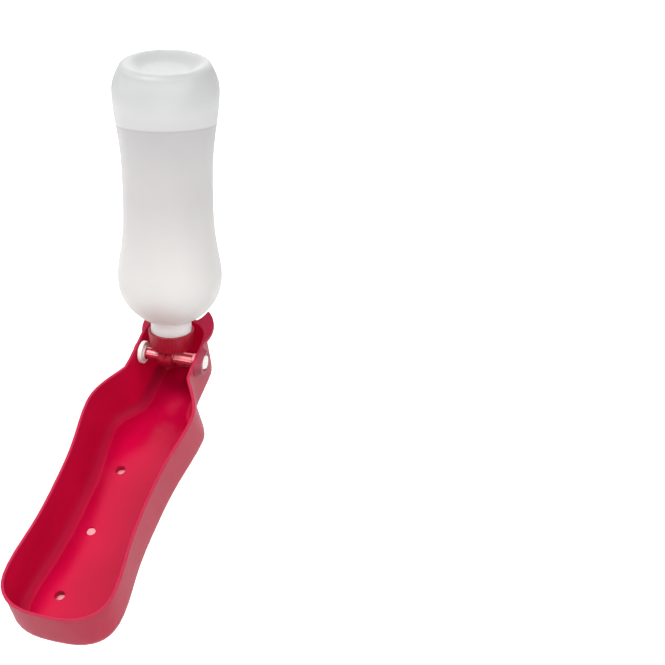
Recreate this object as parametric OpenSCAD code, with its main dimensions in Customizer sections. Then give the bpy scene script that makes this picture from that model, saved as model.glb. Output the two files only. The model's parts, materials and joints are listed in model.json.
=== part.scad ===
// Travel water bottle for a dog. A squeeze bottle is held upside down over a trough that folds
// out from its cap. The trough turns a valve rod: folded out it lets water through, folded up
// against the bottle it shuts. Origin: middle of the waist, where the hand holds the bottle.
// +Z runs up the bottle's axis to its base, +X along the valve rod, and the trough points to -Y.

/* [Bottle] */
// Radius at the waist
waist_r = 28.7; // [26:0.1:30]
// Radius at the bulge next to the neck
neck_bulge_r = 33.7; // [31:0.1:34]
// Radius at the bulge next to the base
base_bulge_r = 33.4; // [31:0.1:34]
// Distance from the waist down to the bulge next to the neck
neck_bulge_drop = 64; // [58:1:68]
// Distance from the waist up to the bulge next to the base
base_bulge_rise = 61.5; // [56:0.5:62]
// Distance from the waist up to the ring that the bottle stands on
base_rise = 79.4; // [76:0.2:80]
// Radius of the neck where it shows above the cap
neck_r = 13.26; // [12.8:0.02:13.3]
// Radius of the mouth
mouth_r = 10.4; // [8:0.1:10.6]
// Wall of the body
wall = 1.1; // [0.8:0.1:1.4]
// Depth of the hollow in the base
base_hollow = 4.8; // [3:0.1:7]

/* [Cap and valve] */
// Height of the ribbed band
cap_h = 12.6; // [11:0.1:13]
// Outer radius of the band at its open end
cap_r = 15; // [14.8:0.1:16]
// Outer radius of the band at its closed end
cap_end_r = 14; // [13.8:0.1:15]
// Number of grip ribs
grip_ribs = 40; // [24:1:48]
// How far the valve's axis lies in front of the bottle's axis
valve_front = 6; // [5.6:0.1:6.4]
// Distance from the valve's axis up to the closed end of the cap
valve_drop = 5; // [4.8:0.1:6]
// Radius of the valve housing
housing_r = 7; // [6.4:0.1:7.4]
// Width of the valve housing along the rod
housing_w = 8.8; // [8.4:0.1:10]
// Radius of the rod's plug
plug_r = 4.55; // [4.4:0.05:4.7]
// Radius of the water way
water_r = 1.6; // [1.2:0.1:1.8]
// Radius of the dished collar on the rod
collar_r = 7.5; // [6.5:0.1:8]

/* [Tray] */
// Slope of the folded-out tray below level, in degrees
tray_slope = 24.2; // [22:0.1:30]
// Distance from the valve's axis to the tray's far end
tray_len = 208.4; // [207.8:0.2:212]
// Distance from the valve's axis back to the rounded end of the tray
tray_back = 28.8; // [28.4:0.2:31]
// Half width at the valve's axis
ear_half = 22.3; // [21.8:0.1:23]
// Half width at the bulge next to the cap
near_half = 36.9; // [36.6:0.1:39]
// Half width at the waist
waist_half = 31.9; // [31.7:0.1:34]
// Half width at the bulge next to the far end
far_half = 36.4; // [36.2:0.1:38]
// Height of the rim above the valve's axis, square to the tray
rim_rise = 6.2; // [5.8:0.1:6.4]
// Depth of the tray at its waist, outside
tray_depth = 37.8; // [37.4:0.1:40]
// Wall of the tray
tray_wall = 1.4; // [1.2:0.1:1.5]
// Draft of the walls, in degrees
tray_draft = 1.6; // [1:0.1:2.2]
// Overhang of the rim's lip
lip = 0.5; // [0.4:0.1:0.6]
// Outer radius where the walls turn into the floor
floor_round = 9.2; // [8:0.1:11]

/* [Belt clip] */
// Width of the clip
clip_w = 16; // [12:1:18]
// Distance of the clip's middle from the tray's middle
clip_side = -12; // [-13:0.1:-8]
// Distance from the valve's axis to the middle rivet
clip_mid = 123; // [118:1:130]
// Distance between rivets
rivet_pitch = 49.7; // [44:0.1:50]
// Radius of a rivet's shank
rivet_r = 3.6; // [3:0.1:4]
// Gap that the belt goes through
belt_gap = 6.6; // [6:0.1:8]
// Thickness of the clip
clip_t = 2.4; // [2:0.1:3]

/* [Hidden] */
$fn = 72;
cut = 0.5;                      // how far a cutter runs past the face that it opens
slip = 0.05;                    // radial clearance of a running or seated fit
edge = 0.3;                     // small chamfer that takes the sharpness off an edge

// levels along the bottle's axis
axle_z = -120;                  // valve's axis
cap_low = axle_z + valve_drop;
cap_top = cap_low + cap_h;
cap_floor = 2;
gasket_t = 1.2;
neck_end = cap_low + cap_floor + gasket_t + slip;

// bottle
neck_pull = 1.9;                // above 1 the waist stays narrow for longer, towards the neck
base_pull = 1.35;               // the same towards the base
dome = 32.5;                    // height of the dome between bulge and neck
base_dome = 28.6;                // the same towards the base, cut off by the standing ring
base_round = 4.6;                // rounding of the edge round the base
ring_w = 2;                     // flat that the bottle stands on
hollow_soft = 0.9;              // softness of the edges of the hollow in the base
finish_r = 11.6;                // neck below the bead, where the cap's thread runs
bead_low = cap_top - 1.2;
bead_step = 0.4;
neck_fillet = 3.6;
neck_turn = 62;                 // angle that the fillet turns through, in degrees

// a wave from 0 to 1, drawn out at its 0 end when pull is above 1
function swell(v, pull) = (1 - cos(180 * pow(v, pull))) / 2;
function body_r(z) = z < 0
    ? waist_r + (neck_bulge_r - waist_r) * swell(-z / neck_bulge_drop, neck_pull)
    : waist_r + (base_bulge_r - waist_r) * swell(z / base_bulge_rise, base_pull);

// angle on the dome, measured at the bulge, where the neck's fillet starts
dome_top = acos((neck_r + neck_fillet * (1 - cos(neck_turn))) / neck_bulge_r);
neck_join = -neck_bulge_drop - dome * sin(dome_top);
// angle on the base dome that leaves room for the rounded edge
base_top = asin((base_rise - base_bulge_rise - base_round * 0.9) / base_dome);
ring_r = base_bulge_r * cos(base_top) - base_round;

neck_side = concat(
    [[finish_r, neck_end], [finish_r, bead_low], [neck_r, bead_low + bead_step]],
    [for (i = [0:3]) let (a = neck_turn * i / 4)
        [neck_r + neck_fillet * (1 - cos(a)), neck_join - neck_fillet * (sin(neck_turn) - sin(a))]]);
body_side = concat(
    [for (i = [0:12]) let (a = dome_top * (1 - i / 12))
        [neck_bulge_r * cos(a), -neck_bulge_drop - dome * sin(a)]],
    [for (i = [1:15]) let (z = -neck_bulge_drop * (1 - i / 15)) [body_r(z), z]],
    [for (i = [1:15]) let (z = base_bulge_rise * i / 15) [body_r(z), z]],
    [for (i = [1:8]) let (a = base_top * i / 8)
        [base_bulge_r * cos(a), base_bulge_rise + base_dome * sin(a)]]);
base_edge = [for (i = [1:5]) let (a = 18 * i)
    [ring_r + base_round * cos(a), base_rise - base_round * (1 - sin(a))]];
outer_side = concat(neck_side, body_side, base_edge);

// the line one wall thickness inside a line of points, without its two ends
function inside(p, t) = [for (i = [1:len(p) - 2])
    let (d = p[i + 1] - p[i - 1]) p[i] + t * [-d[1], d[0]] / norm(d)];

module bottle() {
    hollow_r = ring_r - ring_w;
    floor_z = base_rise - base_hollow;
    inner = inside(body_side, wall);
    color([0.90, 0.91, 0.90])
        rotate_extrude($fn = 96)
            polygon(concat(
                outer_side,
                [[hollow_r + hollow_soft, base_rise], [hollow_r, base_rise - hollow_soft],
                 [hollow_r - hollow_soft, floor_z + hollow_soft],
                 [hollow_r - 2 * hollow_soft, floor_z], [0, floor_z - hollow_soft]],
                // underside of the hollow, seen from within the bottle
                [[0, floor_z - hollow_soft - wall], [hollow_r - wall, floor_z - wall],
                 [hollow_r + hollow_soft / 2, floor_z],
                 [hollow_r + wall, base_rise - 2 * wall]],
                [for (k = [len(inner) - 1:-1:0]) inner[k]],
                [[mouth_r + edge, neck_join + edge], [mouth_r, neck_join - 1], [mouth_r, neck_end]]));
}

module neck_gasket() {
    color([0.93, 0.93, 0.90])
        translate([0, 0, cap_low + cap_floor])
            difference() {
                cylinder(r = finish_r, h = gasket_t);
                translate([0, 0, -cut]) cylinder(r = mouth_r - 0.6, h = gasket_t + 2 * cut);
            }
}

// screw cap with the valve housing
thread_room = finish_r + 1;     // bore where the thread runs
lip_room = neck_r + 0.35;       // bore round the neck's bead
spout_h = 1.6;                  // how far the spout stands out under the housing
spout_t = 1.3;                  // wall of the spout
rib_r = 0.45;
web_t = 1.8;
web_run = 9;                    // length of the web behind the housing

// child drawn along +X from the valve's axis
module along_axle(x) {
    translate([x, 0, 0]) rotate([0, 90, 0]) children();
}

module on_axle() {
    translate([0, -valve_front, axle_z]) children();
}

module grip_ribs() {
    for (i = [0:grip_ribs - 1])
        rotate([0, 0, 360 * i / grip_ribs])
            translate([cap_end_r - 0.2, 0, cap_low + 1.6])
                rotate([0, atan((cap_r - cap_end_r) / cap_h), 0])
                    cylinder(r = rib_r, h = cap_h - 3.4, $fn = 16);
}

module screw_cap() {
    way = housing_r + spout_h;
    color([0.62, 0.08, 0.17])
        difference() {
            union() {
                rotate_extrude($fn = 96)
                    polygon([[0, cap_low], [cap_end_r - 1, cap_low], [cap_end_r, cap_low + 1],
                             [cap_r, cap_top - 0.6], [cap_r - 0.5, cap_top],
                             [lip_room, cap_top], [lip_room, bead_low - 0.8],
                             [thread_room, bead_low - 1.8], [thread_room, cap_low + cap_floor],
                             [0, cap_low + cap_floor]]);
                grip_ribs();
                on_axle() {
                    along_axle(-housing_w / 2) cylinder(r = housing_r, h = housing_w);
                    translate([-housing_w / 2, 1 - housing_r, 0])
                        cube([housing_w, 2 * housing_r - 2, valve_drop + cap_floor / 2]);
                    translate([0, 0, -way]) cylinder(r = water_r + spout_t, h = housing_r);
                    // webs that stiffen the housing, a long one behind and a short one before
                    translate([-web_t / 2, housing_r - 1.4, 1.6])
                        cube([web_t, web_run, valve_drop - 1]);
                    translate([-web_t / 2, -housing_r - 0.2, 1.6])
                        cube([web_t, 1.6, valve_drop - 1]);
                }
            }
            on_axle() {
                // bore for the rod's plug
                along_axle(-housing_w / 2 - cut) cylinder(r = plug_r + slip, h = housing_w + 2 * cut);
                // water way, from the cap's inside through the plug's bore to the spout
                translate([0, 0, -way - cut])
                    cylinder(r = water_r, h = way + valve_drop + cap_floor + 2 * cut);
            }
        }
}

// valve rod; drawn along +X from the left wall of the tray to the right wall
function wall_in(z) = lip + z * tan(tray_draft);
ear_in = ear_half - wall_in(rim_rise) - tray_wall;
seat_x = 25.8;                  // floor of the recess in the right boss
right_end = 26.4;               // right end of the rod and face of the right boss
left_end = 22.8;                // left end of the rod and face of the left boss
left_r = 3.9;                   // journal in the left wall
right_r = 4.9;                  // journal in the right wall, the end that the rod goes in by
key = 3.9;                      // distance from the axis to the flat that the tray drives
key_turn = -45;                 // direction of the flat, in degrees from straight down
collar_x = -18.8;
collar_t = 2.8;
core_r = 2.7;
rib_t = 1.8;
groove_x = 3.05;                // middle of a seal's groove
groove_w = 1.6;
groove_r = 3.05;

module rod(r, from, to) {
    along_axle(from) cylinder(r = r, h = to - from);
}

module cross_ribs(r, from, to) {
    rod(core_r, from, to);
    translate([from, -r, -rib_t / 2]) cube([to - from, 2 * r, rib_t]);
    translate([from, -rib_t / 2, -r]) cube([to - from, rib_t, 2 * r]);
}

// what the flat takes off the right journal, or leaves in its seat
module key_flat(from, gap) {
    rotate([key_turn, 0, 0])
        translate([from, -2 * right_r, -2 * right_r - key - gap])
            cube([right_end, 4 * right_r, 2 * right_r]);
}

module valve_spindle() {
    plug_x = housing_w / 2 + 0.5;
    color([0.93, 0.90, 0.88])
        on_axle()
            difference() {
                union() {
                    rod(left_r, -left_end, 2 - ear_in);
                    cross_ribs(left_r, 1 - ear_in, -plug_x);
                    rod(left_r, collar_x - 0.8, collar_x + collar_t);
                    rod(plug_r - 0.15, collar_x + collar_t, collar_x + collar_t + 1);
                    rod(plug_r, -plug_x, plug_x);
                    cross_ribs(plug_r, plug_x, ear_in - 1.5);
                    rod(right_r, ear_in - 2, right_end);
                }
                for (s = [-1, 1])
                    along_axle(s * groove_x - groove_w / 2)
                        difference() {
                            cylinder(r = right_r, h = groove_w);
                            translate([0, 0, -cut])
                                cylinder(r = groove_r, h = groove_w + 2 * cut);
                        }
                translate([0, 0, -right_r]) cylinder(r = water_r, h = 2 * right_r, $fn = 32);
                rotate([tray_slope, 0, 0]) key_flat(ear_in - 0.5, 0);
            }
}

module spindle_seal(side) {
    ring = 0.74;
    color([0.12, 0.12, 0.13])
        on_axle()
            along_axle(side * groove_x)
                rotate_extrude() translate([plug_r - ring + 0.01, 0]) circle(r = ring, $fn = 24);
}

module spindle_seal_left() { spindle_seal(-1); }
module spindle_seal_right() { spindle_seal(1); }

module spindle_collar() {
    dish = 1.2;                 // depth of the dish on the side that faces the valve
    hub = left_r + 0.01;
    color([0.94, 0.92, 0.90])
        on_axle()
            along_axle(collar_x)
                rotate_extrude()
                    polygon([[hub, 0], [collar_r - edge, 0], [collar_r, edge],
                             [collar_r, collar_t - edge], [collar_r - edge, collar_t],
                             [collar_r - 1.1, collar_t], [collar_r - 1.4, collar_t - dish],
                             [left_r + 1.5, collar_t - dish], [left_r + 1.2, collar_t],
                             [hub, collar_t]]);
}

// tray: a stack of closed outlines, opening up, with the valve's axis along X and the trough
// running to -Y. Drawn with the underside of its floor at z = 0, then tipped until the rim is
// level, then tipped to the tray's slope.
ear_end = -8;                   // where the sides turn into the rounded end behind the cap
flare_at = 20;                  // where the sides start to flare
near_at = 52;                   // the bulge next to the cap, at the rim
flare_shift = 2;                // how much closer to the axle the flare lies at the floor
near_shift = 12;                // the same for the bulge
waist_at = 114;
far_at = 179;                   // the bulge next to the far end
depth_at = 120;                 // where the tray has its stated depth
deepen = 0.001;                 // gain in depth for each millimetre towards the axle
near_pull = 1.45;
far_pull = 1.6;
end_power = 2.6;                // squareness of the far end
back_power = 2.6;               // squareness of the end behind the cap

// v where v is above 0, else 0, with a soft corner between
function soft_floor(v) = (v + sqrt(v * v + 0.003)) / 2;
// half width at distance s from the axle, with the flare from fl and the near bulge at na
function half_w(s, fl, na) =
    s < na ? ear_half + (near_half - ear_half)
        * sin(90 * min(soft_floor((s - fl) / (na - fl)), 1)) :
    s < waist_at ? waist_half + (near_half - waist_half)
        * swell((waist_at - s) / (waist_at - na), near_pull) :
    s < far_at ? waist_half + (far_half - waist_half)
        * swell((s - waist_at) / (far_at - waist_at), far_pull) : far_half;

// distances from the axle at which the sides are drawn
function stations(fl, na) = concat(
    [for (i = [0:3]) ear_end + (fl - ear_end) * i / 4],
    [for (i = [0:7]) fl + (na - fl) * i / 8],
    [for (i = [0:7]) na + (waist_at - na) * i / 8],
    [for (i = [0:6]) waist_at + (far_at - waist_at) * i / 7]);

// one side of the outline, from the middle of the near end to the middle of the far end
function side(fl, na) = concat(
    [for (i = [0:8]) let (a = 90 - 10 * i)
        [ear_half * pow(cos(a), 2 / back_power),
         ear_end - (tray_back + ear_end) * pow(sin(a), 2 / back_power)]],
    [for (s = stations(fl, na)) [half_w(s, fl, na), s]],
    [for (i = [0:10]) let (a = 9 * i)
        [far_half * pow(cos(a), 2 / end_power),
         far_at + (tray_len - far_at) * pow(sin(a), 2 / end_power)]]);

// the whole outline at depth z, in the plane of the rim
function outline(z) = let (k = z / tray_depth, p = side(flare_at - flare_shift * k,
                                                        near_at - near_shift * k), n = len(p)) concat(
    [for (i = [0:n - 1]) [p[i][0], -p[i][1]]],
    [for (i = [n - 2:-1:1]) [-p[i][0], -p[i][1]]]);

// the outline moved in by d, square to itself
function moved_in(p, d) = let (n = len(p)) [for (i = [0:n - 1])
    let (t = p[(i + 1) % n] - p[(i + n - 1) % n]) p[i] + d * [t[1], -t[0]] / norm(t)];

// one outline d inside the rim's edge at depth z, raised by up; the walls grow to the axle
function ring_at(d, z, up) = [for (q = moved_in(outline(z), d))
    [q[0], q[1], (tray_depth - z) * (1 + deepen * (depth_at + q[1])) + up]];

lip_h = 2.2;
out_flat = tray_depth - floor_round;
wall_levels = [8, 15, 22];
turns = [0:18:90];              // steps of the rounding between wall and floor
function turn_in(a) = wall_in(out_flat) + floor_round * (1 - cos(a));
function turn_z(a) = out_flat + floor_round * sin(a);
outer_rings = concat(
    [ring_at(edge, 0, 0), ring_at(0, edge, 0), ring_at(0, lip_h, 0),
     ring_at(wall_in(lip_h), lip_h + 0.4, 0)],
    [for (z = wall_levels) ring_at(wall_in(z), z, 0)],
    [for (a = turns) ring_at(turn_in(a), turn_z(a), 0)]);
inner_rings = concat(
    [ring_at(wall_in(0) + tray_wall - edge, 0, 0), ring_at(wall_in(0) + tray_wall, edge, 0)],
    [for (z = wall_levels) ring_at(wall_in(z) + tray_wall, z, 0)],
    [for (a = turns) ring_at(turn_in(a) + tray_wall * cos(a), turn_z(a), tray_wall * sin(a))]);

// faces that close a ring of n points, in strips from one side of the tray to the other
function across(n) = concat(
    [[0, 1, n - 1]],
    [for (i = [1:n / 2 - 2]) [i, i + 1, n - i - 1, n - i]],
    [[n / 2 - 1, n / 2, n / 2 + 1]]);

module tray_shell() {
    rings = concat([for (i = [len(outer_rings) - 1:-1:0]) outer_rings[i]], inner_rings);
    n = len(rings[0]);
    m = len(rings);
    polyhedron(
        points = [for (r = rings) each r],
        faces = concat(
            [for (j = [0:m - 2]) for (i = [0:n - 1]) let (k = (i + 1) % n)
                each [[j * n + i, j * n + k, (j + 1) * n + i],
                      [j * n + k, (j + 1) * n + k, (j + 1) * n + i]]],
            [for (f = across(n)) [for (i = [len(f) - 1:-1:0]) f[i]]],
            [for (f = across(n)) [for (i = f) (m - 1) * n + i]]));
}

// flat plate at the rim behind the cap: two horns with a thumb notch between them
plate_t = 2.2;
plate_drop = 0.15;              // how far its top lies under the rim
plate_r = 21.1;                 // outer corners
plate_x = 3.2;
plate_at = 21;
notch_r = 15.5;
notch_at = 40;
horn_round = 0.8;
module horn_plate() {
    translate([0, 0, rim_rise - plate_drop - plate_t])
        linear_extrude(plate_t)
            difference() {
                offset(r = horn_round) offset(delta = -horn_round)
                    difference() {
                        hull()
                            for (s = [-1, 1])
                                translate([s * plate_x, plate_at]) circle(r = plate_r);
                        translate([0, notch_at]) circle(r = notch_r);
                    }
                polygon(moved_in(outline(0), lip + tray_wall / 2));
            }
}

// round boss on the outside of a wall, kept below the rim's top
boss_drop = 0.1;                // how far its top lies below the rim's top
module wall_boss(r, face) {
    foot = ear_in + tray_wall / 2;
    intersection() {
        along_axle(foot) cylinder(r1 = r + (face - foot) / 2, r2 = r, h = face - foot);
        translate([0, -2 * r, rim_rise - boss_drop - 4 * r]) cube([2 * face, 4 * r, 4 * r]);
    }
}

module on_tray() {
    on_axle() rotate([tray_slope, 0, 0]) children();
}

// from the floor's frame to the tray's, where the rim is level
floor_tilt = atan(tray_depth * deepen);
module on_floor() {
    translate([0, -depth_at, rim_rise - tray_depth * cos(floor_tilt)])
        rotate([-floor_tilt, 0, 0])
            translate([0, depth_at, 0]) children();
}

// a place on the line of rivets, at distance s from the axle
module at_rivet(s) {
    on_floor() translate([clip_side, -s, 0]) children();
}

rivet_at = [clip_mid - rivet_pitch, clip_mid, clip_mid + rivet_pitch];
seat_r = 5.5;                   // recess round the rod's right end
module tray() {
    color([0.72, 0.03, 0.17])
        on_tray()
            difference() {
                union() {
                    on_floor() tray_shell();
                    horn_plate();
                    wall_boss(8, right_end);
                    mirror([1, 0, 0]) wall_boss(5.6, left_end);
                }
                // right wall: seat of the keyed journal and the recess round its end
                difference() {
                    rod(right_r + slip, ear_in - 3, right_end + cut);
                    key_flat(ear_in - 4, slip);
                }
                rod(seat_r, seat_x, right_end + cut);
                // left wall
                rod(left_r + slip, -left_end - cut, 3 - ear_in);
                for (s = rivet_at)
                    at_rivet(s) translate([0, 0, -cut])
                        cylinder(r = rivet_r + slip, h = tray_wall + 2 * cut);
            }
}

// belt clip: a strip folded back under itself, open towards the bottle's base, with three pads
// that stand against the tray's floor
pad_h = 1.5;
pad_r = rivet_r + 2.2;
clip_top = -pad_h - slip;       // strip's upper face, from the floor's underside
clip_tail = rivet_pitch + 12;   // strip's ends, from the middle rivet
clip_tip = rivet_pitch + 10;
tongue_tip = clip_tip - 18;

// first axis up, second axis along Y
module clip_side_view() {
    out = belt_gap / 2 + clip_t;
    // strip next to the tray
    translate([-clip_t, -clip_tip]) square([clip_t, clip_tip + clip_tail]);
    // bend
    translate([-out, clip_tail])
        difference() {
            circle(r = out);
            circle(r = belt_gap / 2);
            translate([-2 * out, -2 * out]) square([4 * out, 2 * out]);
        }
    // tongue and the nib at its tip
    translate([-2 * out, -tongue_tip]) square([clip_t, tongue_tip + clip_tail]);
    translate([-2 * out + clip_t / 2, -tongue_tip]) circle(r = clip_t / 2 + 0.7, $fn = 32);
}

module belt_clip() {
    color([0.93, 0.92, 0.91])
        on_tray() at_rivet(clip_mid)
            difference() {
                union() {
                    translate([clip_w / 2, 0, clip_top])
                        rotate([0, -90, 0]) linear_extrude(clip_w) clip_side_view();
                    for (y = [-rivet_pitch, 0, rivet_pitch])
                        translate([0, y, clip_top - clip_t / 2])
                            cylinder(r = pad_r, h = pad_h + clip_t / 2);
                }
                for (y = [-rivet_pitch, 0, rivet_pitch])
                    translate([0, y, clip_top - clip_t - cut])
                        cylinder(r = rivet_r + slip, h = clip_t + pad_h + 2 * cut);
            }
}

// headless rivet: sunk in its hole in the tray's floor, spread behind the clip
module rivet(s, sink, drilled) {
    top = tray_wall - sink;
    spread = clip_top - clip_t - slip;
    tail = spread - 0.9;
    color([0.93, 0.90, 0.88])
        on_tray() at_rivet(s)
            difference() {
                rotate_extrude()
                    polygon([[0, tail], [rivet_r + 0.9, tail], [rivet_r + 1.2, tail + edge],
                             [rivet_r + 0.9, spread], [rivet_r, spread],
                             [rivet_r, top - edge], [rivet_r - edge, top], [0, top]]);
                if (drilled) translate([0, 0, top - 1.6]) cylinder(r = rivet_r / 3, h = 2);
            }
}

module clip_rivet_upper() { rivet(rivet_at[0], tray_wall + 0.9, true); }
module clip_rivet_middle() { rivet(rivet_at[1], 0.7, false); }
module clip_rivet_lower() { rivet(rivet_at[2], tray_wall + 0.9, true); }

bottle();
neck_gasket();
screw_cap();
valve_spindle();
spindle_seal_left();
spindle_seal_right();
spindle_collar();
tray();
belt_clip();
clip_rivet_upper();
clip_rivet_middle();
clip_rivet_lower();
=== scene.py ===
import json
import math

import bmesh
import bpy
from mathutils import Matrix, Vector


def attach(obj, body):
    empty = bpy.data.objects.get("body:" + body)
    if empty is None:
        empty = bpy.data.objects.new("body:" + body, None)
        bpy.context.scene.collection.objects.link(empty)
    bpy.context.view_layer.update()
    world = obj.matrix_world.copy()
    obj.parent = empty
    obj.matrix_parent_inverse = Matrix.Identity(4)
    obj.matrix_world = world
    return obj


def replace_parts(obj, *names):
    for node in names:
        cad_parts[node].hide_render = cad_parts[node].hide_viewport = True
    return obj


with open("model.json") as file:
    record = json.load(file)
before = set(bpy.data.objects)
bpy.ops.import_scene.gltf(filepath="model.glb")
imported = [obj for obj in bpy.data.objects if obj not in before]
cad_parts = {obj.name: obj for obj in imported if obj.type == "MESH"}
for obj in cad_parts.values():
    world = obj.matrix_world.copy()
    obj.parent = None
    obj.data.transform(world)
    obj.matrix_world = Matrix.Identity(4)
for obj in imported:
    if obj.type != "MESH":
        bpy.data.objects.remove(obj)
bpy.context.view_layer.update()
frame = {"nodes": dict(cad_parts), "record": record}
nodes = frame["nodes"]
print("frame loaded:", len(nodes), "nodes")


class Wire:
    # an output of a shader node that can stand in an expression
    def __init__(self, finish, socket):
        self.finish = finish
        self.socket = socket

    def __add__(self, other):
        return self.finish.calc("ADD", self, other)

    def __radd__(self, other):
        return self.finish.calc("ADD", other, self)

    def __sub__(self, other):
        return self.finish.calc("SUBTRACT", self, other)

    def __rsub__(self, other):
        return self.finish.calc("SUBTRACT", other, self)

    def __mul__(self, other):
        return self.finish.calc("MULTIPLY", self, other)

    def __rmul__(self, other):
        return self.finish.calc("MULTIPLY", other, self)

    def __truediv__(self, other):
        return self.finish.calc("DIVIDE", self, other)

    def __rtruediv__(self, other):
        return self.finish.calc("DIVIDE", other, self)


class Finish:
    # one material: put() adds a node, the rest are short names for what is used often
    def __init__(self, name):
        self.material = bpy.data.materials.new(name)
        self.material.use_nodes = True
        self.tree = self.material.node_tree
        self.tree.nodes.clear()
        self.end = self.tree.nodes.new("ShaderNodeOutputMaterial")

    def put(self, kind, settings=None, sockets=None, out=0):
        node = self.tree.nodes.new(kind)
        for key, value in (settings or {}).items():
            setattr(node, key, value)
        for key, value in (sockets or {}).items():
            if isinstance(value, Wire):
                self.tree.links.new(value.socket, node.inputs[key])
            else:
                node.inputs[key].default_value = value
        return Wire(self, node.outputs[out])

    def calc(self, operation, first, second=0.0):
        return self.put("ShaderNodeMath", {"operation": operation}, {0: first, 1: second})

    def place(self):
        return self.put("ShaderNodeTexCoord", out="Object")

    def along(self, direction, of="Object"):
        # how far a point lies along a direction, or how far a face turns to it
        return self.put("ShaderNodeVectorMath", {"operation": "DOT_PRODUCT"},
                        {0: self.put("ShaderNodeTexCoord", out=of), 1: direction}, out="Value")

    def noise(self, scale, detail=2.0, roughness=0.5, distortion=0.0):
        return self.put("ShaderNodeTexNoise", None,
                        {"Vector": self.place(), "Scale": scale, "Detail": detail,
                         "Roughness": roughness, "Distortion": distortion})

    def blend(self, factor, first, second):
        return self.put("ShaderNodeMix", {"data_type": "RGBA"},
                        {"Factor": factor, "A": first, "B": second}, out="Result")

    def remap(self, value, low, high, toLow=0.0, toHigh=1.0):
        # held at its ends, and low may be above high
        return self.put("ShaderNodeMapRange", None,
                        {"Value": value, "From Min": low, "From Max": high,
                         "To Min": toLow, "To Max": toHigh})

    def bump(self, height, distance, strength=1.0):
        return self.put("ShaderNodeBump", None,
                        {"Height": height, "Distance": distance, "Strength": strength})

    def close(self, **sockets):
        names = {key.replace("_", " "): value for key, value in sockets.items()}
        shader = self.put("ShaderNodeBsdfPrincipled", None, names)
        self.tree.links.new(shader.socket, self.end.inputs["Surface"])
        return self.material


def colour(red, green, blue):
    # display colour, 0 to 255, as the linear colour that shaders take
    return tuple(((c / 255) / 12.92 if c < 11 else ((c / 255 + 0.055) / 1.055) ** 2.4)
                 for c in (red, green, blue)) + (1,)


black = (0, 0, 0, 1)


def makeMilkyPlastic():
    # a thin milky wall; the water behind it is a tone of the wall; places in metres
    look = {
        "high": colour(206, 207, 207), "highFrom": 0.055, "highTo": 0.078,    # painted shade, darker round the base
        "clear": colour(240, 241, 240),                                       # above the water
        "filled": colour(226, 224, 222), "filledFrom": -0.005,                # in the water
        "low": colour(250, 248, 245), "lowTo": -0.07,                         # painted light, lighter lower down in it
        "under": colour(213, 211, 212), "underDepth": 0.03,                   # painted shade just under the surface
        # painted light: the neck is lighter
        "neck": colour(255, 254, 252), "neckFrom": -0.085, "neckTo": -0.097,
        "level": 0.0400, "levelSoft": 0.0006,
        "slant": (-0.0698, 0.1591, 0.9848),                                   # square to the surface
        "line": colour(190, 188, 190), "lineDepth": 0.0008, "lineHalf": 0.0008, "lineShare": 0.5,
        "cloud": colour(250, 250, 248), "cloudScale": 34, "cloudShare": 0.12,
        "glow": (1, 1, 0.99, 1), "glowFrom": -0.088, "glowTo": -0.098, "glowStrength": 0.055,
        "seamHalf": 0.00035, "seamRise": 0.12,
        "rippleScale": 24, "grainScale": 900, "grainRise": 0.02, "bumpDepth": 0.0005, "bumpStrength": 0.3,
        "rough": 0.36, "roughScale": 60, "roughShare": 0.12,
    }
    f = Finish("milky_plastic")
    height = f.along((0, 0, 1))
    depth = look["level"] - f.along(look["slant"])
    # painted shade: the wall darkens towards the base
    empty = f.blend(f.remap(height, look["highFrom"], look["highTo"]), look["clear"], look["high"])
    # painted light: the water's tone lightens lower down
    full = f.blend(f.remap(height, look["filledFrom"], look["lowTo"]), look["filled"], look["low"])
    # painted shade: darker just under the water's surface
    full = f.blend(f.remap(depth, look["underDepth"], 0.0), full, look["under"])
    # painted light: the neck is lighter
    full = f.blend(f.remap(height, look["neckFrom"], look["neckTo"]), full, look["neck"])
    tone = f.blend(f.remap(depth, -look["levelSoft"], look["levelSoft"]), empty, full)
    line = f.remap(f.calc("ABSOLUTE", depth - look["lineDepth"]), look["lineHalf"], 0.0)
    tone = f.blend(line * look["lineShare"], tone, look["line"])
    tone = f.blend(f.noise(look["cloudScale"], 3) * look["cloudShare"], tone, look["cloud"])
    # the mould's seam runs down both sides
    seam = f.remap(f.calc("ABSOLUTE", f.along((0, 1, 0))), look["seamHalf"], 0.0)
    ripple = (f.noise(look["rippleScale"], 2, 0.4)
              + f.noise(look["grainScale"], 2) * look["grainRise"] + seam * look["seamRise"])
    # stands in for light in the thin wall of the neck
    glow = f.blend(f.remap(height, look["glowFrom"], look["glowTo"]), black, look["glow"])
    rough = f.noise(look["roughScale"], 2) * look["roughShare"] + look["rough"]
    return f.close(Base_Color=tone, Roughness=rough,
                   Subsurface_Weight=0.7, Subsurface_Radius=(0.012, 0.012, 0.011), Subsurface_Scale=1.0,
                   Transmission_Weight=0.5, IOR=1.5, Specular_IOR_Level=0.5,
                   Sheen_Weight=0.3, Sheen_Roughness=0.4,
                   Emission_Color=glow, Emission_Strength=look["glowStrength"],
                   Normal=f.bump(ripple, look["bumpDepth"], look["bumpStrength"]))


def redTone(f, first, second):
    # slow change of tone, as coloured moulded plastic has it
    look = {"scale": 22, "roughness": 0.4, "distortion": 0.6, "low": 0.35, "high": 0.7}
    patches = f.noise(look["scale"], 2, look["roughness"], look["distortion"])
    return f.blend(f.remap(patches, look["low"], look["high"]), first, second)


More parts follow.
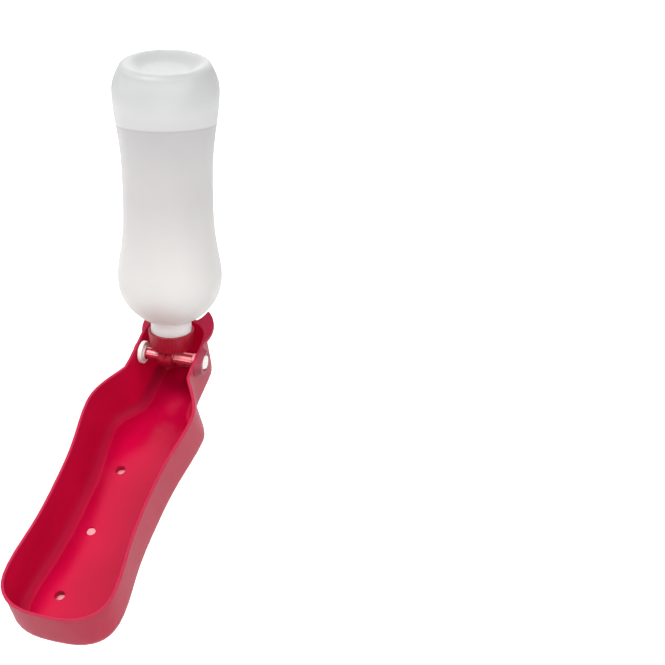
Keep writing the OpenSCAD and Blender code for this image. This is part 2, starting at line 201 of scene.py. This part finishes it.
def closeRed(f, tone, rough, grainScale, **more):
    # shared by cap and tray: faint rubbed patches, fine grain and slow waves
    look = {"rubScale": 240, "rubFrom": 0.55, "rubTo": 0.8, "rubShare": 0.06,
            "roughScale": 130, "roughShare": 0.08,
            "waveScale": 34, "waveRise": 1.6, "bumpDepth": 0.00006, "bumpStrength": 0.3}
    rubbed = f.remap(f.noise(look["rubScale"], 5, 0.7), look["rubFrom"], look["rubTo"])
    grain = f.noise(grainScale, 3, 0.6) + f.noise(look["waveScale"], 1) * look["waveRise"]
    rough = rough + f.noise(look["roughScale"], 3) * look["roughShare"] + rubbed * look["rubShare"]
    return f.close(Base_Color=tone, Roughness=rough,
                   Specular_IOR_Level=0.3, IOR=1.48,
                   Normal=f.bump(grain, look["bumpDepth"], look["bumpStrength"]), **more)


def makeCapPlastic():
    look = {"deep": colour(146, 12, 36), "light": colour(160, 20, 44), "rough": 0.3, "grainScale": 1400}
    f = Finish("cap_plastic")
    return closeRed(f, redTone(f, look["deep"], look["light"]), look["rough"], look["grainScale"])


def makeTrayPlastic():
    # the floor is polished, the inner walls are dull, the outside is satin and darkened with painted shade;
    # places in metres
    look = {
        "deep": colour(174, 0, 50), "light": colour(184, 2, 56),
        # painted shade: the outside is darker
        "out": colour(142, 0, 42), "outShare": 0.6,
        # painted sheen: the rim's top is paler
        "rim": colour(160, 30, 62), "rimShare": 0.7, "rimFrom": 0.0010, "rimTo": 0.0003,
        "shade": colour(142, 0, 40), "shadeShare": 0.55,
        # painted sheen: the bosses are paler and duller
        "boss": colour(146, 62, 78), "bossShare": 0.9, "bossSide": 0.0224, "bossReach": 0.014,
        "floorRough": 0.14, "wallRough": 0.62, "outRough": 0.45, "grainScale": 1100,
        "glow": (0.55, 0, 0.03, 1), "glowReach": 0.03, "glowStrength": 0.22,
    }
    form = {
        "up": (0, -0.40992, 0.91212),       # square to the trough's rim
        "down": (0, -0.91212, -0.40992),    # along the trough, away from the hinge
        "rimHeight": -0.1008,               # of the rim's top, along up
        "axle": 0.0547,                     # of the hinge, along down
        "middle": 0.09, "halfLength": 0.12, "halfWidth": 0.035,
        "turnedShare": 0.5, "outSoft": 0.03,
    }
    f = Finish("tray_plastic")
    turned = f.along(form["up"], "Normal")
    across = f.along((1, 0, 0))
    fromAxle = f.along(form["down"]) - form["axle"]
    # a wall face is an outer one where it turns away from the trough's middle
    toEnd = (fromAxle - form["middle"]) / form["halfLength"]
    outward = (f.along((1, 0, 0), "Normal") * across / form["halfWidth"]
               + f.along(form["down"], "Normal") * toEnd * toEnd * toEnd)
    outside = f.remap(outward - turned * form["turnedShare"], -form["outSoft"], form["outSoft"])
    # the bosses on the two ears, counted as outside, with a painted sheen of their own
    boss = (f.remap(f.calc("ABSOLUTE", across), look["bossSide"] - 0.0001, look["bossSide"])
            * f.remap(f.calc("ABSOLUTE", fromAxle), look["bossReach"], look["bossReach"] - 0.001))
    outside = f.calc("MAXIMUM", outside, boss)
    floor = f.remap(turned, 0.97, 0.995)
    # the rim's top, which takes a painted sheen
    rim = f.remap(f.along(form["up"]), form["rimHeight"] - look["rimFrom"],
                  form["rimHeight"] - look["rimTo"]) * (1 - boss)
    # painted shade: the rounding on the shaded side is darkened to the walls' depth of colour
    shadedRounding = (f.remap(turned, 0.1, 0.45) * f.remap(turned, 0.999, 0.9)
                * f.remap(across, -0.008, -0.016) * (1 - outside))
    tone = redTone(f, look["deep"], look["light"])
    # painted shade on the rounding and the outside, painted sheen on the rim and the bosses
    for mask, share, over in ((shadedRounding, "shadeShare", "shade"), (outside, "outShare", "out"),
                              (rim, "rimShare", "rim"), (boss, "bossShare", "boss")):
        tone = f.blend(mask * look[share], tone, look[over])
    rough = look["wallRough"] + floor * (1 - rim) * (look["floorRough"] - look["wallRough"])
    rough = rough + outside * (look["outRough"] - look["wallRough"])
    # stands in for light that comes through the thin walls beside the cap
    thin = f.remap(fromAxle, look["glowReach"], 0.0) * f.remap(turned, 0.6, 0.2) * (1 - outside)
    return closeRed(f, tone, rough, look["grainScale"],
                    Emission_Color=f.blend(thin, black, look["glow"]),
                    Emission_Strength=look["glowStrength"])


def closeSmooth(f, tone, rough, **more):
    # shared by the small white parts: fine unevenness of gloss and surface
    look = {"roughScale": 500, "roughShare": 0.12,
            "bumpScale": 1500, "bumpDepth": 0.00002, "bumpStrength": 0.3}
    grain = f.noise(look["bumpScale"], 2)
    return f.close(Base_Color=tone, Roughness=rough + f.noise(look["roughScale"], 2) * look["roughShare"],
                   Normal=f.bump(grain, look["bumpDepth"], look["bumpStrength"]), **more)


def makeRodPlastic():
    # white at both ends and coloured red between the ears, with a painted highlight as a pale line along its
    # top
    look = {"end": colour(228, 222, 216), "red": colour(164, 30, 50), "pale": colour(236, 146, 154),
            "from": -0.0152, "to": 0.0204, "step": 0.0001,
            "top": (0, -0.3, 0.954), "paleFrom": 0.55, "paleTo": 0.8, "rough": 0.22}
    f = Finish("rod_plastic")
    side = f.along((1, 0, 0))
    inside = (f.remap(side, look["from"] - look["step"], look["from"])
              * f.remap(side, look["to"], look["to"] - look["step"]))
    # painted highlight: faces turned up along the rod are pale
    paintedHighlight = f.remap(f.along(look["top"], "Normal"), look["paleFrom"], look["paleTo"])
    tone = f.blend(inside, look["end"], f.blend(paintedHighlight, look["red"], look["pale"]))
    return closeSmooth(f, tone, look["rough"])


def makeWhitePlastic():
    look = {"light": colour(232, 228, 223), "dull": colour(222, 217, 211), "cloudScale": 160, "rough": 0.32}
    f = Finish("white_plastic")
    tone = f.blend(f.remap(f.noise(look["cloudScale"], 3, 0.5), 0.3, 0.7), look["light"], look["dull"])
    return closeSmooth(f, tone, look["rough"],
                       Subsurface_Weight=0.15, Subsurface_Radius=(0.003, 0.002, 0.002), Subsurface_Scale=0.4)


def makeRubber(name, tone, worn):
    look = {"wornScale": 420, "rough": 0.55, "roughScale": 700, "roughShare": 0.2,
            "bumpScale": 2600, "bumpDepth": 0.00003, "bumpStrength": 0.4}
    f = Finish(name)
    return f.close(Base_Color=f.blend(f.remap(f.noise(look["wornScale"], 4), 0.4, 0.8), tone, worn),
                   Roughness=look["rough"] + f.noise(look["roughScale"], 2) * look["roughShare"],
                   Normal=f.bump(f.noise(look["bumpScale"], 3), look["bumpDepth"], look["bumpStrength"]))


finishes = {
    "milky_plastic": makeMilkyPlastic(),
    "soft_seal": makeRubber("soft_seal", colour(232, 232, 226), colour(214, 214, 206)),
    "cap_plastic": makeCapPlastic(),
    "tray_plastic": makeTrayPlastic(),
    "white_plastic": makeWhitePlastic(),
    "seal_rubber": makeRubber("seal_rubber", colour(34, 34, 36), colour(58, 58, 60)),
}
slots = {part["node"]: part["material_slot"] for part in frame["record"]["subparts"]}
for name, piece in nodes.items():
    piece.data.materials.clear()
    piece.data.materials.append(finishes[slots[name]])
nodes["valve_spindle"].data.materials[0] = makeRodPlastic()
print("finishes on the nodes:", len(slots))


def makePiece(name, mesh, slot, body):
    data = bpy.data.meshes.new(name)
    mesh.to_mesh(data)
    mesh.free()
    data.materials.append(finishes[slot])
    piece = bpy.data.objects.new(name, data)
    bpy.context.scene.collection.objects.link(piece)
    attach(piece, body)
    return piece


def shadeSmooth(mesh, crease):
    # smooth all over, apart from edges that turn by more than the crease in degrees
    for face in mesh.faces:
        face.smooth = True
    for edge in mesh.edges:
        edge.smooth = edge.calc_face_angle(0) < math.radians(crease)


def makeTray():
    # the node's own surface, welded, so that its many flat sides shade as one skin
    form = {"weld": 2e-6, "crease": 33}
    mesh = bmesh.new()
    mesh.from_mesh(nodes["tray"].data)
    bmesh.ops.remove_doubles(mesh, verts=mesh.verts[:], dist=form["weld"])
    shadeSmooth(mesh, form["crease"])
    piece = makePiece("tray_body", mesh, slots["tray"], "tray")
    even = piece.modifiers.new("even_shading", "WEIGHTED_NORMAL")
    even.keep_sharp = True
    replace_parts(piece, "tray")


def makeThread(name, own, slot, body):
    # a ridge wound along the axis, running out into its wall at both ends; lengths in metres
    form = {"pitch": 0.002, "rootHalf": 0.0006, "crestHalf": 0.00025, "stepsPerTurn": 48,
            "runOut": 0.12, "lowest": 0.05, "crease": 30}
    root, crest, start = own["root"], own["crest"], own["start"]
    mesh = bmesh.new()
    profile = [mesh.verts.new((r, 0, start + h)) for r, h in (
        (root, -form["rootHalf"]), (crest, -form["crestHalf"]),
        (crest, form["crestHalf"]), (root, form["rootHalf"]))]
    mesh.faces.new(profile)
    steps = int(form["stepsPerTurn"] * own["turns"])
    rise = form["pitch"] * own["turns"]
    bmesh.ops.spin(mesh, geom=mesh.verts[:] + mesh.edges[:] + mesh.faces[:], cent=(0, 0, 0), axis=(0, 0, 1),
                   dvec=(0, 0, rise / steps), angle=2 * math.pi * own["turns"], steps=steps,
                   use_merge=False, use_duplicate=False)
    for vert in mesh.verts:
        along = min(max((vert.co.z - start) / rise, 0), 1)
        full = min(along / form["runOut"], (1 - along) / form["runOut"], 1)
        radius = math.hypot(vert.co.x, vert.co.y)
        if abs(radius - crest) < abs(radius - root):
            scale = (root + (crest - root) * max(full, form["lowest"])) / radius
            vert.co.x *= scale
            vert.co.y *= scale
    bmesh.ops.recalc_face_normals(mesh, faces=mesh.faces[:])
    shadeSmooth(mesh, form["crease"])
    makePiece(name, mesh, slot, body)


def spinProfile(points, steps, crease, closed=False, place=None):
    # a line of (radius, height) in metres, spun about the Z axis
    mesh = bmesh.new()
    verts = [mesh.verts.new((r, 0, z)) for r, z in points]
    edges = [mesh.edges.new(pair) for pair in zip(verts, verts[1:])]
    if closed:
        edges.append(mesh.edges.new((verts[-1], verts[0])))
    bmesh.ops.spin(mesh, geom=verts + edges, cent=(0, 0, 0), axis=(0, 0, 1), angle=2 * math.pi,
                   steps=steps, use_merge=True, use_duplicate=False)
    bmesh.ops.remove_doubles(mesh, verts=mesh.verts[:], dist=1e-6)
    bmesh.ops.recalc_face_normals(mesh, faces=mesh.faces[:])
    shadeSmooth(mesh, crease)
    if place:
        bmesh.ops.transform(mesh, matrix=place, verts=mesh.verts[:])
    return mesh


def makeBottle():
    # the blown bottle from the mouth up to the hollow in its base; radii and heights in millimetres
    form = {
        "mouth": 10.4, "finish": 11.6, "end": -111.75, "bead": -103.6, "beadRise": 0.4,
        "neck": 13.26, "neckFillet": 3.6, "neckTurn": 62,
        "neckDrop": 64, "neckBulge": 33.7, "shoulder": 32.5,
        "waist": 28.7, "neckFlare": 1.9, "baseFlare": 1.35,
        "baseBulge": 33.4, "baseRise": 61.5, "baseDome": 28.6, "edgeRound": 4.6, "top": 79.4,
        "hollow": 4.7, "hollowRim": 24.4, "hollowFloor": 13.0,
        "dimple": 6, "dimpleDrop": 0.4, "poleDrop": 0.5,
        "wall": 1.1, "throat": 0.3, "throatDrop": 1,
        "filletSteps": 6, "shoulderSteps": 18, "flankSteps": 24, "domeSteps": 12, "edgeSteps": 12,
        "hollowSteps": 16, "roundSteps": 120, "crease": 33,
    }
    fillet, bulge, drop, edge = form["neckFillet"], form["neckBulge"], form["neckDrop"], form["edgeRound"]
    waist, base, top = form["waist"], form["baseBulge"], form["top"]

    def swell(v, pull):
        return (1 - math.cos(math.pi * v ** pull)) / 2

    turn = math.radians(form["neckTurn"])
    shoulderEnd = math.acos((form["neck"] + fillet * (1 - math.cos(turn))) / bulge)
    join = -drop - form["shoulder"] * math.sin(shoulderEnd)
    baseEnd = math.asin((top - form["baseRise"] - edge * 0.9) / form["baseDome"])
    ring = base * math.cos(baseEnd) - edge
    neck = [(form["finish"], form["end"]), (form["finish"], form["bead"]),
            (form["neck"], form["bead"] + form["beadRise"])]
    for i in range(form["filletSteps"]):
        a = turn * i / form["filletSteps"]
        neck.append((form["neck"] + fillet * (1 - math.cos(a)),
                     join - fillet * (math.sin(turn) - math.sin(a))))
    body = []
    for i in range(form["shoulderSteps"]):
        a = shoulderEnd * (1 - i / form["shoulderSteps"])
        body.append((bulge * math.cos(a), -drop - form["shoulder"] * math.sin(a)))
    for i in range(form["flankSteps"]):
        v = 1 - i / form["flankSteps"]
        body.append((waist + (bulge - waist) * swell(v, form["neckFlare"]), -drop * v))
    for i in range(form["flankSteps"]):
        v = i / form["flankSteps"]
        body.append((waist + (base - waist) * swell(v, form["baseFlare"]), form["baseRise"] * v))
    for i in range(form["domeSteps"]):
        a = baseEnd * i / form["domeSteps"]
        body.append((base * math.cos(a), form["baseRise"] + form["baseDome"] * math.sin(a)))
    for i in range(2, form["edgeSteps"]):  # the dome's end takes the place of the first two
        a = math.pi / 2 * i / form["edgeSteps"]
        body.append((ring + edge * math.cos(a), top - edge * (1 - math.sin(a))))
    for i in range(form["hollowSteps"] + 1):
        v = i / form["hollowSteps"]
        body.append((form["hollowRim"] + (form["hollowFloor"] - form["hollowRim"]) * v,
                     top - form["hollow"] * swell(v, 1)))
    body.append((form["dimple"], top - form["hollow"] - form["dimpleDrop"]))
    # the inside lies one wall thickness square to the outside
    inner = []
    for before, here, after in zip(body, body[1:], body[2:]):
        dr, dz = after[0] - before[0], after[1] - before[1]
        size = math.hypot(dr, dz) / form["wall"]
        inner.append((here[0] - dz / size, here[1] + dr / size))
    pole = top - form["hollow"] - form["poleDrop"]
    line = neck + body + [(0, pole), (0, pole - form["wall"])] + inner[::-1] + [
        (form["mouth"] + form["throat"], join + form["throat"]),
        (form["mouth"], join - form["throatDrop"]), (form["mouth"], form["end"])]
    line = [(r / 1000, z / 1000) for r, z in line]
    mesh = spinProfile(line, form["roundSteps"], form["crease"], closed=True)
    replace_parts(makePiece("bottle_body", mesh, "milky_plastic", "bottle"), "bottle")


def floorPlace(along):
    # from a place on the line of rivets to the model's frame, with the trough's underside at height 0
    form = {"side": -0.012, "axle": (0, -0.006, -0.12), "slope": 24.2, "tilt": 2.1647,
            "rim": 0.0062, "depth": 0.0378, "depthAt": 0.12}
    tilt = math.radians(form["tilt"])
    return (Matrix.Translation(form["axle"]) @ Matrix.Rotation(math.radians(form["slope"]), 4, "X")
            @ Matrix.Translation((0, -form["depthAt"], form["rim"] - form["depth"] * math.cos(tilt)))
            @ Matrix.Rotation(-tilt, 4, "X") @ Matrix.Translation((form["side"], form["depthAt"] - along, 0)))


def makeRivetPlastic():
    # pink at the end in the trough, painted red light reflected from the trough round it, and white at the
    # end behind the clip
    look = {"end": colour(222, 150, 158), "back": colour(226, 221, 215), "change": -0.0039, "step": 0.0001,
            "cloud": colour(205, 150, 155), "cloudScale": 160, "cloudShare": 0.2, "rough": 0.34}
    place = floorPlace(0)
    up = place.to_3x3() @ Vector((0, 0, 1))
    f = Finish("rivet_plastic")
    height = f.along(up) - up.dot(place.translation)
    # painted reflection: the end in the trough is pink from the red round it
    tone = f.blend(f.remap(height, look["change"] - look["step"], look["change"]), look["back"], look["end"])
    tone = f.blend(f.noise(look["cloudScale"], 3) * look["cloudShare"], tone, look["cloud"])
    return closeSmooth(f, tone, look["rough"])


def makeRivet(name, own, finish):
    # a red socket in the floor with the end of the rivet at its foot; lengths in metres
    form = {"floor": 0.0014, "socket": 0.00364, "shank": 0.0036, "head": 0.0045, "headEdge": 0.0048,
            "spread": -0.0040, "tail": -0.0049, "edge": 0.0003, "steps": 48, "crease": 30}
    place = floorPlace(own["along"])
    top, shank, bore = form["floor"] - own["sink"], form["shank"], own["bore"]
    head, headEdge, spread, tail, edge = (form[key] for key in ("head", "headEdge", "spread", "tail", "edge"))
    rivet = [(0, tail), (head, tail), (headEdge, tail + edge), (head, spread),
             (shank, spread), (shank, top - edge), (shank - edge, top), (0, top)]
    mesh = spinProfile(rivet, form["steps"], form["crease"], place=place)
    piece = makePiece(name, mesh, "white_plastic", "tray")
    piece.data.materials[0] = finish
    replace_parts(piece, own["node"])
    socket = [(bore, top), (form["socket"], top), (form["socket"], form["floor"]),
              (bore + edge, form["floor"]), (bore, form["floor"] - edge)]
    mesh = spinProfile(socket, form["steps"], form["crease"], closed=True, place=place)
    makePiece(name + "_socket", mesh, "tray_plastic", "tray")


# along is from the hinge down the trough
rivets = {
    "rivet_upper": {"node": "clip_rivet_upper", "along": 0.0733, "sink": 0.0042, "bore": 0.00315},
    "rivet_middle": {"node": "clip_rivet_middle", "along": 0.123, "sink": 0.0013, "bore": 0.0030},
    "rivet_lower": {"node": "clip_rivet_lower", "along": 0.1727, "sink": 0.0042, "bore": 0.00315},
}
# the cap's ridge starts half a pitch higher, between the neck's
neckThread = {"root": 0.01152, "crest": 0.01235, "start": -0.1102, "turns": 2.6}
capThread = {"root": 0.01266, "crest": 0.01186, "start": -0.1092, "turns": 2.1}

rivetPlastic = makeRivetPlastic()
makeTray()
makeBottle()
for name, own in rivets.items():
    makeRivet(name, own, rivetPlastic)
makeThread("neck_thread", neckThread, "milky_plastic", "bottle")
makeThread("cap_thread", capThread, "cap_plastic", "cap")


def makeRoom():
    # a pale floor that glows to the camera and to mirrors, less under the object, where its shadow lies
    room = {"floorHeight": -0.55, "half": 7.0, "card": (0.92, 0.92, 0.92, 1), "white": (1, 1, 1, 1),
            "nearTo": 0.6, "nearGlow": 0.25, "farFrom": 1.3, "farGlow": 0.85}
    mesh = bmesh.new()
    bmesh.ops.create_grid(mesh, x_segments=1, y_segments=1, size=room["half"],
                          matrix=Matrix.Translation((0, 0, room["floorHeight"])))
    data = bpy.data.meshes.new("studio_floor")
    mesh.to_mesh(data)
    mesh.free()
    floor = bpy.data.objects.new("studio_floor", data)
    bpy.context.scene.collection.objects.link(floor)
    f = Finish("studio_floor")
    seen = f.put("ShaderNodeLightPath", out="Is Camera Ray")
    glossy = f.put("ShaderNodeLightPath", out="Is Glossy Ray")
    away = f.put("ShaderNodeVectorMath", {"operation": "LENGTH"}, {0: f.place()}, out="Value")
    fade = f.remap(away, room["nearTo"], room["farFrom"], room["nearGlow"], room["farGlow"])
    glow = f.put("ShaderNodeEmission", None, {"Color": room["white"], "Strength": (seen + glossy) * fade})
    card = f.put("ShaderNodeBsdfDiffuse", None, {"Color": room["card"]})
    both = f.put("ShaderNodeAddShader", None, {0: glow, 1: card})
    f.tree.links.new(both.socket, f.end.inputs["Surface"])
    data.materials.append(f.material)


def makeWorld():
    # white to the camera, to mirrors and through clear plastic, and dim as a light
    sky = {"light": 0.2, "white": 1.0, "colour": (1, 1, 1, 1)}
    world = bpy.data.worlds.new("studio")
    world.use_nodes = True
    tree = world.node_tree
    rays = tree.nodes.new("ShaderNodeLightPath")
    seen = rays.outputs["Is Camera Ray"]
    for kind in ("Is Glossy Ray", "Is Transmission Ray"):
        either = tree.nodes.new("ShaderNodeMath")
        either.operation = "MAXIMUM"
        tree.links.new(seen, either.inputs[0])
        tree.links.new(rays.outputs[kind], either.inputs[1])
        seen = either.outputs[0]
    pick = tree.nodes.new("ShaderNodeMix")
    pick.inputs["A"].default_value = sky["light"]
    pick.inputs["B"].default_value = sky["white"]
    tree.links.new(seen, pick.inputs["Factor"])
    back = tree.nodes["Background"]
    back.inputs["Color"].default_value = sky["colour"]
    tree.links.new(pick.outputs["Result"], back.inputs["Strength"])
    bpy.context.scene.world = world


def makeLight(name, place, size, power):
    # square lamps aimed at the object; only the key lamp shows in the gloss
    aim = (0, -0.08, -0.05)
    lamp = bpy.data.lights.new(name, "AREA")
    lamp.energy = power
    lamp.size = size
    holder = bpy.data.objects.new(name, lamp)
    holder.location = place
    holder.rotation_euler = (Vector(aim) - Vector(place)).to_track_quat("-Z", "Y").to_euler()
    holder.visible_glossy = name == "key_light"
    holder.visible_camera = False
    bpy.context.scene.collection.objects.link(holder)


def makeCamera():
    # turn, tilt and roll in degrees, away in metres, lens in millimetres
    shot = {"turn": 17.85, "tilt": 26.724, "roll": 1.279, "away": 1.1652, "lens": 95.57, "sensor": 36,
            "aim": (0.09881, 0.03833, -0.10580)}
    turn, tilt, roll = (math.radians(shot[key]) for key in ("turn", "tilt", "roll"))
    back = Vector((math.sin(turn) * math.cos(tilt), -math.cos(turn) * math.cos(tilt), math.sin(tilt)))
    level = Vector((math.cos(turn), math.sin(turn), 0))
    upright = back.cross(level)
    right = math.cos(roll) * level + math.sin(roll) * upright
    up = math.cos(roll) * upright - math.sin(roll) * level
    camera = bpy.data.cameras.new("camera")
    camera.lens = shot["lens"]
    camera.sensor_width = shot["sensor"]
    holder = bpy.data.objects.new("camera", camera)
    holder.matrix_world = Matrix.Translation(Vector(shot["aim"]) + back * shot["away"]) @ Matrix(
        (right, up, back)).transposed().to_4x4()
    bpy.context.scene.collection.objects.link(holder)
    bpy.context.scene.camera = holder


# place in metres, size in metres, power in watts
lamps = {
    "key_light": ((-0.75, -0.82, 1.55), 0.55, 24),
    "front_light": ((0.7, -1.3, 1.1), 1.0, 10),
    "fill_light": ((1.2, -1.3, 0.5), 1.1, 8),
    "right_light": ((1.2, -0.3, 1.2), 1.0, 15),
    "high_light": ((0.0, -1.1, 1.5), 0.8, 8),
    "left_light": ((-1.3, -0.15, 0.5), 0.9, 6),
    "back_light": ((-0.6, 1.6, 0.7), 1.0, 12),
}
makeRoom()
makeWorld()
for name, (place, size, power) in lamps.items():
    makeLight(name, place, size, power)
makeCamera()
bpy.context.scene.view_settings.view_transform = "Standard"
print("room, light and camera are in place")
